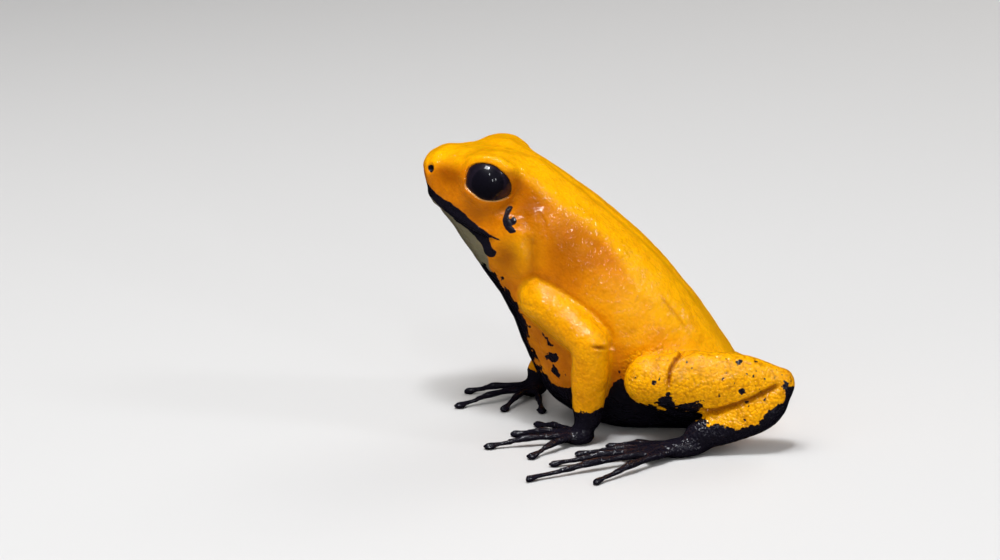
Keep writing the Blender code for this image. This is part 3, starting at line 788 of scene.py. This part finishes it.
s = outside_lids
on_ball = dome_height(EYE_RADIUS + MARGIN_LIFT)
on_lid = dome_height(EYE_RADIUS + LID + 0.3 * np.maximum(s - 0.3, 0))
rounding = np.sqrt(1 - (1 - np.clip(s / MARGIN, 0, 1)) ** 2)
lid_height = on_ball + (on_lid - on_ball) * rounding
lid_height += 0.07 * bell(s - 0.5, 0.25) * rounding
sunk = on_ball + np.maximum(1.3 * s, -0.5)
release = 1 - ramp(s, 2.6, 0.2) * ramp(height, 0.0, 0.7)
new_height = np.where(s < 0, sunk, lid_height + (height - lid_height) * release)
shift = np.where(near_eye & (s < 2.6), new_height - height, 0.0)[:, None] * EYE_LOOKS
shift[:, 1] *= np.where(points[:, 1] < 0, -1, 1)
points += shift
write_points(skin_mesh, points)
print("points of the lids:", int((s < 2.6).sum()), "deepest move", np.abs(shift).max().round(2))


# %% [markdown]
# ## Soft skin round the eye
# A lid that is lifted off the ball leaves a ring like a goggle round the eye. On a live
# frog the lids grow out of brow and cheek with no such edge. So the skin beyond the margin
# is left loose and relaxed for many rounds, as under a smoothing brush, while the margin
# itself and the brow above it stay where they are.


# %% Melt the lids into the cheek
def relax(loose, rounds):
    """Draws loose points toward the middle of their neighbours, round after round."""
    global points
    pairs = np.zeros(len(skin_mesh.edges) * 2, np.int32)
    skin_mesh.edges.foreach_get("vertices", pairs)
    pairs = pairs.reshape(-1, 2)
    pairs = pairs[(loose[pairs] > 0).any(axis=1)]
    both_ways = np.vstack([pairs, pairs[:, ::-1]])
    count = np.maximum(np.bincount(both_ways[:, 0], minlength=len(points)), 1)
    for _ in range(rounds):
        middle = [
            np.bincount(both_ways[:, 0], points[both_ways[:, 1], axis], len(points)) / count
            for axis in range(3)
        ]
        points += 0.5 * loose[:, None] * (np.column_stack(middle) - points)
    write_points(skin_mesh, points)


above_eye, ahead_of_eye = plan[:, 1], plan[:, 0]
loose = ramp(outside_lids, 0.3, 1.0) * ramp(lengths(from_eye), 7.5, 6.0)
loose *= np.maximum(ramp(above_eye, 2.2, 1.0), ramp(np.abs(ahead_of_eye), 1.6, 2.8))
relax(loose, 90)
print("loose points:", int((loose > 0).sum()))

# %% [markdown]
# ## Mouth, nostrils and eardrums
# A frog's mouth is a closed line below the eye, with a full upper lip that overhangs the
# lower jaw. The nostril is a pit with a raised rim. The eardrum is a shallow dish behind
# the corner of the mouth. Each is an in or out push along the skin's own normal.


# %% Push the skin
def push(amount):
    """Moves every point out along its normal by its amount, in mm."""
    global points
    normals = read_table(skin_mesh.vertex_normals, "vector")
    points = points + normals * amount[:, None]
    write_points(skin_mesh, points)
    return float(np.abs(amount).max())


UPPER_LID_RIDGE = 0.25
LIP_OUT, JAW_IN, MOUTH_CUT = 0.14, 0.3, 0.2
NOSTRIL_DEPTH, NOSTRIL_RIM = 0.9, 0.08
EARDRUM_DEPTH, EARDRUM_RIM = 0.16, 0.04
upper_lid = bell(outside_lids - 0.8, 0.4) * ramp(above_eye, 0.4, 1.6)
upper_lid *= ramp(height, 0.3, 1.6) * ramp(ahead_of_eye, 2.6, 0.2)
print("ridge of the upper lid", push(UPPER_LID_RIDGE * upper_lid))

f = folded(points)
from_line = above_mouth(f)
at_corner = ramp(f[:, 0], -19.0, -20.6) * ramp(f[:, 1], -1.0, 0.5)
lip = LIP_OUT * bell(from_line - 0.55, 0.4) * (from_line > 0)
jaw = -JAW_IN * ramp(from_line, -2.4, -0.1) * ramp(from_line, 0.08, -0.06)
groove = -MOUTH_CUT * bell(from_line, 0.12)
print("mouth", push((lip + jaw + groove) * at_corner))

f = folded(points)
from_nostril = lengths(f - NOSTRIL)
pit = NOSTRIL_RIM * bell(from_nostril - 0.8, 0.25) - NOSTRIL_DEPTH * bell(from_nostril, 0.4)
print("nostrils", push(pit))

f = folded(points)
from_drum = lengths(f - EARDRUM)
dish = EARDRUM_RIM * bell(from_drum - 1.8, 0.4) - EARDRUM_DEPTH * ramp(from_drum, 1.6, 0.9)
print("eardrums", push(dish * (f[:, 1] > 5)))

# %% [markdown]
# ## Folds and the groove along the back
# Loose skin folds where limbs bend: at the elbow, between knee and shank, between shank and
# tarsus and behind the upper arm. Each fold line is pressed in, with a soft swelling on
# either side. A low ridge runs from the eye along the upper flank, the skull is a little
# hollow between the brows, and a shallow groove runs down the back over the spine.


# %% Press the folds
for name, (side, path, (nearest, width, depth, swell)) in FOLDS.items():
    gap = fold_distance(points, name)
    pressed = swell * bell(gap - 2.2 * width, width) - depth * bell(gap, width)
    push(pressed * fold_strength(points, name))
distance, width, depth = ARM_CREASE
for side in SIDES:
    gap = np.abs(arm_distance(points, side) - distance)
    on_side_only = ramp(points[:, 1] * SIDES[side], 5.5, 7.5)
    push(-depth * bell(gap, width) * on_side_only)
print("folds:", list(FOLDS))

# %% Ridges and swellings
RIDGE = (
    # from the snout over the brow and along the back, where yellow turns into orange
    (-27.6, 30.6), (-24.4, 31.0), (-20.5, 32.2), (-17.6, 30.6), (-15.9, 29.2), (-14.1, 28.1),
    (-12.3, 26.7), (-9.9, 25.2), (-7.5, 23.4), (-5.5, 21.2), (-1.5, 15.5), (2.0, 9.5),
)  # fmt: skip
RIDGE_OUT, FLANK_IN, SKULL_IN, BREAST_OUT, SPINE_IN = 0.2, 0.14, 0.3, 0.45, 0.09
f = folded(points)
from_ridge = from_path(f[:, (0, 2)], RIDGE[3:10])
below = from_path(f[:, (0, 2)] + (0.8, 1.2), RIDGE[3:10])
along_side = ramp(f[:, 1], 3.0, 4.5)
push((RIDGE_OUT * bell(from_ridge, 0.7) - FLANK_IN * bell(below, 0.9)) * along_side)
skull = bell(points[:, 1], 2.0) * bell(lengths(f - (-20.0, 0.0, 31.8)), 3.5)
push(-SKULL_IN * skull)
breast = from_path(f, ((-17.0, 7.4, 23.0), (-16.3, 7.4, 21.2), (-16.3, 7.2, 19.6)))
print("ridges and breast", push(BREAST_OUT * bell(breast, 1.2)))

back_path = TRUNK_STATIONS[3:9, :2]
from_back = from_path(points[:, (0, 2)], back_path)
spine = 0.04 * bell(np.abs(points[:, 1]) - 1.3, 0.6) - SPINE_IN * bell(points[:, 1], 0.5)
print("spine groove", push(spine * ramp(from_back, 1.6, 0.5) * ramp(points[:, 2], 13, 17)))

# %% [markdown]
# ## Grain and floor
# The skin of the legs is finely granular, that of the arms less so, and the back is nearly
# smooth. Cell noise raises the grains. What would sink into the floor is pressed flat.

# %% How near each point is to each limb
legs, arms = np.zeros(len(points)), np.zeros(len(points))
for (name, side), path in limb_paths.items():
    distance = from_path(points, path)
    if name == "arm":
        arms = np.maximum(arms, ramp(distance, 3.0, 2.5))
    else:
        thick = {"thigh": 3.9, "shank": 3.6, "tarsus": 2.2}[name]
        legs = np.maximum(legs, ramp(distance, thick + 0.5, thick))
legs *= ramp(np.abs(points[:, 1]), 6.0, 9.0)
arms *= ramp(np.abs(points[:, 1]), 5.5, 7.5) * (1 - legs)
GRAIN_SIZE, GRAIN_HEIGHT = 0.6, 0.09
LUMPS = ((0.45, 0.07), (1.1, 0.04))  # how many to the millimetre, and how high
grainy = np.clip(legs + 0.2 * arms, 0, 1)
grain = np.zeros(len(points))
for number in np.nonzero(grainy > 0.05)[0]:
    spot = Vector(points[number]) / GRAIN_SIZE
    grain[number] = 0.45 - noise.voronoi(spot)[0][0]
print("grain", push(GRAIN_HEIGHT * grain * grainy * ramp(points[:, 2], 0.3, 1.5)))
lumps = sum(
    np.array([noise.noise(Vector(p) * number) for p in points]) * height
    for number, height in LUMPS
)
print("lumps", push(lumps * ramp(points[:, 2], 0.3, 1.5)))

points[:, 2] = np.maximum(points[:, 2], 0.0)
write_points(skin_mesh, points)
print("points on the floor:", int((points[:, 2] == 0).sum()))

# %% [markdown]
# ## Markings
# The colours follow the body, not a picture: each marking is a shape seen from the side,
# or a height on a limb. For each point of the skin the distance to a marking's edge is
# stored as an attribute. The material adds fine noise to that distance and cuts it
# sharply, so an edge can be crisp on the lip and ragged on the feet, at any resolution.

# %% Where the skin is black or pale, and the painted shade of the nostrils
CHEST_BLACK = (
    (-25.0, 18.8), (-19.6, 18.4), (-18.9, 17.3), (-17.7, 15.8), (-16.2, 13.8), (-15.8, 11.7),
    (-15.2, 9.3), (-14.6, 7.3), (-13.0, 6.0), (-12.0, 3.0), (-12.0, -3.0), (-25.0, -3.0),
)  # fmt: skip
MOTTLE = ((-13.9, 12.0), (-13.4, 11.2), (-13.3, 10.1), (-12.7, 9.2), (-12.8, 8.4), (-12.1, 7.2))
HEEL_BAND = ((13.6, 8.1), (14.2, 8.0), (15.4, 7.4), (15.4, 4.5), (12.8, 4.9), (13.7, 6.0))
TARSUS_BLACK = (
    (3.0, 5.2), (4.1, 5.1), (4.4, 4.6), (4.9, 4.1), (5.6, 3.8), (7.3, 3.6), (8.7, 3.4),
    (9.8, 3.7), (10.5, 3.6), (11.1, 4.4), (12.9, 5.9), (15.0, 5.0), (15.0, -2.0), (3.0, -2.0),
)  # fmt: skip
KNEE_BLACK = ((-0.5, 6.6), (0.2, 7.0), (0.75, 7.8), (1.4, 6.8), (1.7, 5.4), (1.0, 4.6), (0.0, 5.2))
DARK_SPOTS = (
    # x, height, radius
    (-0.8, 8.7, 0.2), (9.05, 7.7, 0.2), (10.45, 8.4, 0.15), (6.6, 7.3, 0.12), (8.4, 10.7, 0.14),
    (-5.0, 8.3, 0.1), (-17.35, 28.3, 0.12), (-17.15, 27.95, 0.16), (-17.5, 27.8, 0.1),
    (-24.6, 26.8, 0.08),
)  # fmt: skip


def marking(outline, nearest=0.0):
    """Depth inside an outline seen from the side, for skin this far from the middle."""
    loop = smooth_loop(np.array(outline), 3)
    depth = inside(folded(points)[:, (0, 2)], loop)
    return np.where(np.abs(points[:, 1]) > nearest, depth, -5.0)


x, z = points[:, 0], points[:, 2]
out = np.abs(points[:, 1])
limbs = np.clip(legs + arms, 0, 1)
black = marking(LIP_BAND)
black = np.maximum(black, marking(EARDRUM_MARK, 5.0))
# The nostril's pit is painted black: painted shade inside the hole.
from_nostril = np.hypot(x - NOSTRIL[0], z - NOSTRIL[2]) + 0.2 * np.abs(out - NOSTRIL[1])
black = np.maximum(black, 0.5 - from_nostril)
ragged = np.full(len(points), 0.12)

belly_path = TRUNK_STATIONS[1:9, 2:4]
from_belly = from_path(points[:, (0, 2)], belly_path)
flank_edge = np.interp(x, (-15, -12, -9, -5, -2, 2, 6, 9), (4.5, 5.5, 6.6, 7.2, 7.0, 5.0, 2.5, 1.0))
belly = np.maximum(np.where(z < 18.5, 1.0 - from_belly, -9.0), flank_edge - z)
belly = np.maximum(belly, marking(CHEST_BLACK))
mottle = from_path(points[:, (0, 2)], MOTTLE)
belly = np.maximum(belly, 0.3 - mottle) - 20 * ramp(limbs, 0.2, 0.8)
ragged = np.where(belly > black, 0.9, ragged)
black = np.maximum(black, belly)

feet = np.full(len(points), -9.0)
for (name, side), path in limb_paths.items():
    distance, height, place = along_path(points, path)
    on_this = (points[:, 1] * SIDES[side] > 4) & (distance < 4.5)
    if name == "arm":
        wrist_z = {"left": 4.3, "right": 3.2}[side]
        under = np.where(place > 0.5, wrist_z - z, -9.0)
    elif name == "tarsus":
        under = np.where(side == "left", marking(TARSUS_BLACK), -0.4 - height)
        under = np.where(height < 1.6, under, -9.0)
        under = np.maximum(under, 4.0 * (place - 0.9))
    elif name == "shank":
        under = marking(KNEE_BLACK) if side == "left" else -1.6 - height
    else:
        under = -2.5 - height
    feet = np.maximum(feet, np.where(on_this, under, -9.0))
digits = (z < 2.1) & ((x < 4.5) | (out > 15)) & (limbs < 0.5) & (from_belly > 2.0)
feet = np.where(digits, 5.0, feet)
near_side = points[:, 1] < -6
feet = np.maximum(feet, np.where(near_side, marking(HEEL_BAND, 6.0), -9.0))
for spot_x, spot_z, radius in DARK_SPOTS:
    spot = radius - np.hypot(x - spot_x, 1.3 * (z - spot_z))
    feet = np.maximum(feet, np.where(near_side, spot, -9.0))
ragged = np.where(feet > black, 0.55, ragged)
black = np.maximum(black, feet)

throat = np.where(out < 7.2, marking(THROAT), -5.0)
print("black points:", int((black > 0).sum()), "throat points:", int((throat > 0).sum()))

# %% Tones of the yellow, and painted shade
below_ridge = np.interp(x, *zip(*RIDGE)) - z
orange = ramp(below_ridge, -0.6, 1.4) * (1 - 0.85 * legs) * (1 - 0.75 * arms)
yellow_flank = bell(np.hypot(x + 3.5, z - 14.6), 5.0) + bell(np.hypot(x + 16.6, z - 21.5), 2.4)
orange *= 1 - 0.85 * np.clip(yellow_flank, 0, 1)
orange *= ramp(x, 4.0, -5.0)
# Painted shade: these spots darken the colour toward deep orange in hollows and under the jaw, eye and
# elbow.
PAINTED_SHADE_SPOTS = (
    # middle of a spot of painted shade where shade falls, its radius and how dark it is
    ((-25.8, 4.6, 29.6), 1.2, 0.95),  # between nostril and eye
    ((-24.4, 5.4, 29.3), 1.1, 0.9),  # before the eye
    ((-15.8, 6.8, 26.8), 1.9, 0.95),  # behind the eye
    ((-11.2, 7.8, 22.2), 3.2, 0.65),  # above the shoulder
    ((-21.8, 6.2, 25.6), 1.5, 0.5),  # under the eye
    ((-18.1, 7.0, 20.8), 1.9, 0.95),  # under the jaw
    ((-13.2, 8.5, 12.0), 2.6, 0.5),  # behind the elbow
)
shade = sum(deep * bell(lengths(f - middle), r) for middle, r, deep in PAINTED_SHADE_SPOTS)
# Painted shade along each fold line, darker for narrow, deep folds.
for name, (_, _, (_, width, depth, _)) in FOLDS.items():
    fold_shade = 0.45 * depth / width * bell(fold_distance(points, name), 1.2 * width)
    shade += fold_shade * fold_strength(points, name)
shade = np.clip(shade, 0, 1)
lower_rim = ramp(outside_lids, 0.14, 0.06) * (outside_lids > -0.3)
lower_rim *= ramp(above_eye, 0.3, -0.6) * ramp(ahead_of_eye, -2.4, -1.4)


def store(mesh, fields):
    """Keeps a value for each point under each name, for the materials to read."""
    for name, values in fields.items():
        layer = mesh.attributes.new(name, "FLOAT", "POINT")
        layer.data.foreach_set("value", np.asarray(values, np.float32))


fields = {"black": black, "ragged": ragged, "throat": throat, "orange": orange}
fields |= {"shade": shade, "rim": lower_rim, "legs": legs, "dull": bell(from_nostril, 0.6)}
store(skin_mesh, fields | {"grain": np.clip(0.25 + grainy, 0, 1)})
skin_mesh.shade_smooth()
print("attributes:", [a.name for a in skin_mesh.attributes])

# %% [markdown]
# ## The skin's finish
# Wet skin is a soft, slightly translucent body under a thin clear film. The shader's base
# is the coloured body with some subsurface light, and its coat is the film, which gives
# the sharp highlights. Fine bumps break them up, as the real skin's texture does. Seen
# edge on, a perfect film would mirror the dark surroundings and draw dark lines along the
# contours, so the film fades out there.

# %% Skin material
YELLOW = (0.92, 0.405, 0.0004, 1.0)
ORANGE = (0.66, 0.19, 0.0004, 1.0)
# Deep orange is the skin's deeper tone, and also the colour of the painted shade.
DEEP_ORANGE = (0.30, 0.074, 0.0004, 1.0)
BLACK = (0.0075, 0.0062, 0.0115, 1.0)
PALE = (0.16, 0.14, 0.085, 1.0)
LID_RIM = (0.70, 0.42, 0.15, 1.0)


def skin_finish():
    # Each noise's scale says how many of its waves go to a metre.
    material, shader = new_material("wet skin")
    tree = material.node_tree
    place = node(tree, "TexCoord").outputs["Object"]

    def field(name):
        return node(tree, "Attribute", attribute_name=name).outputs["Fac"]

    def speckle(scale, detail=2.0, swirl=0.0):
        inputs = (("Scale", scale), ("Detail", detail), ("Distortion", swirl))
        return node(tree, "TexNoise", (("Vector", place), *inputs)).outputs["Fac"]

    def combined(operation, a, b, clamp=False):
        made = node(tree, "Math", [(0, a), (1, b)], operation=operation, use_clamp=clamp)
        return made.outputs[0]

    def times(a, b):
        return combined("MULTIPLY", a, b)

    def plus(a, b, clamp=False):
        return combined("ADD", a, b, clamp)

    def minus(a, b):
        return combined("SUBTRACT", a, b)

    def step(value, low, high):
        inputs = [("Value", value), ("From Min", low), ("From Max", high)]
        made = node(tree, "MapRange", inputs, interpolation_type="SMOOTHSTEP")
        return made.outputs["Result"]

    cloud = minus(speckle(260, 3.0), 0.5)
    tone = plus(field("orange"), times(cloud, 0.9), clamp=True)
    colour = blended(tree, tone, YELLOW, ORANGE)
    deep = step(plus(tone, times(speckle(900), 0.35)), 0.95, 1.5)
    colour = blended(tree, times(deep, 0.6), colour, DEEP_ORANGE)
    mottle = step(speckle(750, 4.0), 0.48, 0.7)
    mottle = times(mottle, plus(times(field("grain"), 0.25), 0.1))
    colour = blended(tree, mottle, colour, DEEP_ORANGE)
    # Painted shade from the shade field, darker in hollows and folds.
    colour = blended(tree, field("shade"), colour, DEEP_ORANGE)
    grains = node(
        tree, "TexVoronoi", [("Vector", place), ("Scale", 3400)], feature="SMOOTH_F1"
    ).outputs["Distance"]
    # Painted shade in the crevices between the grains.
    crevice_shade = times(step(grains, 0.3, 0.75), field("grain"))
    colour = blended(tree, times(crevice_shade, 0.45), colour, DEEP_ORANGE)
    colour = blended(tree, step(field("throat"), -0.12, 0.1), colour, PALE)
    colour = blended(tree, times(field("rim"), 0.6), colour, LID_RIM)

    coarse = minus(speckle(850, 5.0), 0.5)
    jitter = times(times(coarse, 4.0), field("ragged"))
    marks = step(plus(field("black"), jitter), -0.04, 0.05)
    specks = step(speckle(1500, 1.0), 0.70, 0.74)
    marks = combined("MAXIMUM", marks, times(specks, field("legs")))
    colour = blended(tree, marks, colour, BLACK)

    grains = times(times(grains, -0.8), field("grain"))
    wrinkle_height = plus(times(field("grain"), 0.3), 0.35)
    wrinkles = times(speckle(1100, 5.0, 0.6), wrinkle_height)
    relief = plus(grains, wrinkles)
    facing = node(tree, "LayerWeight", [("Blend", 0.5)]).outputs["Facing"]
    strength = times(step(facing, 0.95, 0.6), 0.8)
    inputs = [("Height", relief), ("Strength", strength), ("Distance", 0.0003)]
    bump = node(tree, "Bump", inputs).outputs["Normal"]
    relief = plus(relief, times(speckle(420, 3.0, 1.2), 4.5))
    strength = times(step(facing, 0.8, 0.3), 0.8)
    inputs = [("Height", relief), ("Strength", strength), ("Distance", 0.0002)]
    film = node(tree, "Bump", inputs).outputs["Normal"]
    finish = {
        "Base Color": colour,
        "Normal": bump,
        "Roughness": plus(times(step(speckle(500, 3.0), 0.2, 0.9), 0.25), 0.3),
        "Specular IOR Level": 0.06,
        "Subsurface Weight": times(minus(1.0, marks), 0.12),
        "Subsurface Radius": (1.0, 0.35, 0.05),
        "Subsurface Scale": 0.0008,
        "Coat Normal": film,
        "Coat Weight": times(step(facing, 0.98, 0.75), minus(1.0, field("dull"))),
        "Coat Roughness": 0.07,
        "Coat IOR": 1.38,
    }
    feed(tree, shader, finish.items())
    return material


skin_material = skin_finish()
frog_skin = shown("skin", skin_mesh)
skin_mesh.materials.clear()
skin_mesh.materials.append(skin_material)
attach(frog_skin, "root")
flesh_nodes = [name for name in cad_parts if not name.startswith("eye_")]
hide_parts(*flesh_nodes)
print("the skin stands for", len(flesh_nodes), "solids")

# %% [markdown]
# ## Eyes
# The eye is a glossy ball, nearly black, with a very dark brown iris that shows only as a
# faint ring, and a clear cornea that bulges a little. One ball carries both: the middle is
# lifted for the cornea, an attribute holds the angle from the way the eye looks, and a
# mirror smooth coat is the wet front.

# %% Eyeballs
CORNEA_LIFT = 0.12
PUPIL_ANGLE = 0.62  # in radians from the way the eye looks
IRIS_ANGLE = 1.02
PUPIL_COLOUR = (0.006, 0.005, 0.010, 1)
IRIS_COLOUR = (0.017, 0.012, 0.021, 1)
RIM_COLOUR = (0.010, 0.008, 0.015, 1)
STREAK_SHADE = (0.5, 0.45, 0.5, 1)


def eye_finish():
    material, shader = new_material("dark eye")
    tree = material.node_tree
    angle = node(tree, "Attribute", attribute_name="angle").outputs["Fac"]
    turn = node(tree, "Attribute", attribute_name="turn").outputs["Fac"]
    rays = node(tree, "CombineXYZ", [("X", turn), ("Y", angle)]).outputs[0]
    inputs = [("Vector", rays), ("Scale", 6.0), ("Detail", 6.0)]
    streaks = node(tree, "TexNoise", inputs).outputs["Fac"]
    ring = node(tree, "ValToRGB", [("Fac", angle)])
    stops = ring.color_ramp.elements
    stops[0].position, stops[0].color = PUPIL_ANGLE, PUPIL_COLOUR
    stops[1].position, stops[1].color = 0.95, RIM_COLOUR
    stops.new(PUPIL_ANGLE + 0.06).color = IRIS_COLOUR
    darker = blended(tree, streaks, ring.outputs["Color"], STREAK_SHADE, "MULTIPLY")
    finish = {
        "Base Color": darker,
        "Roughness": 0.4,
        "Specular IOR Level": 0.1,
        "Coat Weight": 1.0,
        "Coat Roughness": 0.01,
        "Coat IOR": 1.34,
    }
    feed(tree, shader, finish.items())
    return material


eye_material = eye_finish()
for side, sign in SIDES.items():
    bm = bmesh.new()
    add_ellipsoid(bm, (0, 0, 0), (EYE_RADIUS,) * 3, 0.0, 72, 48)
    looks = Vector(EYE_LOOKS * (1, sign, 1))
    middle = on_side(EYE_CENTRE, side)
    up = Vector(eye_up * (1, sign, 1))
    angles, turns = [], []
    for vert in bm.verts:
        direction = vert.co.normalized()
        angle = direction.angle(looks)
        across = direction - looks * direction.dot(looks)
        angles.append(angle)
        turns.append(across.angle(up, 0.0) if across.length > 1e-6 else 0.0)
        lift = CORNEA_LIFT * (0.5 + 0.5 * math.cos(math.pi * min(angle / IRIS_ANGLE, 1)))
        vert.co = (middle + direction * (EYE_RADIUS + lift)) * MM
    mesh = into_mesh(bm, "eyeball_" + side)
    store(mesh, {"angle": angles, "turn": turns})
    mesh.shade_smooth()
    mesh.materials.append(eye_material)
    eyeball = shown("eyeball_" + side, mesh)
    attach(eyeball, "root")
    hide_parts("eye_" + side)
print("eyeballs in place, radius", EYE_RADIUS)

# %% [markdown]
# ## Last count
# The dressed frog stays inside the box of the solids, give or take a little. The last cell
# counts the skin's triangles.

# %% Triangles of the skin
print("triangles of the skin:", sum(len(p.vertices) - 2 for p in skin_mesh.polygons))
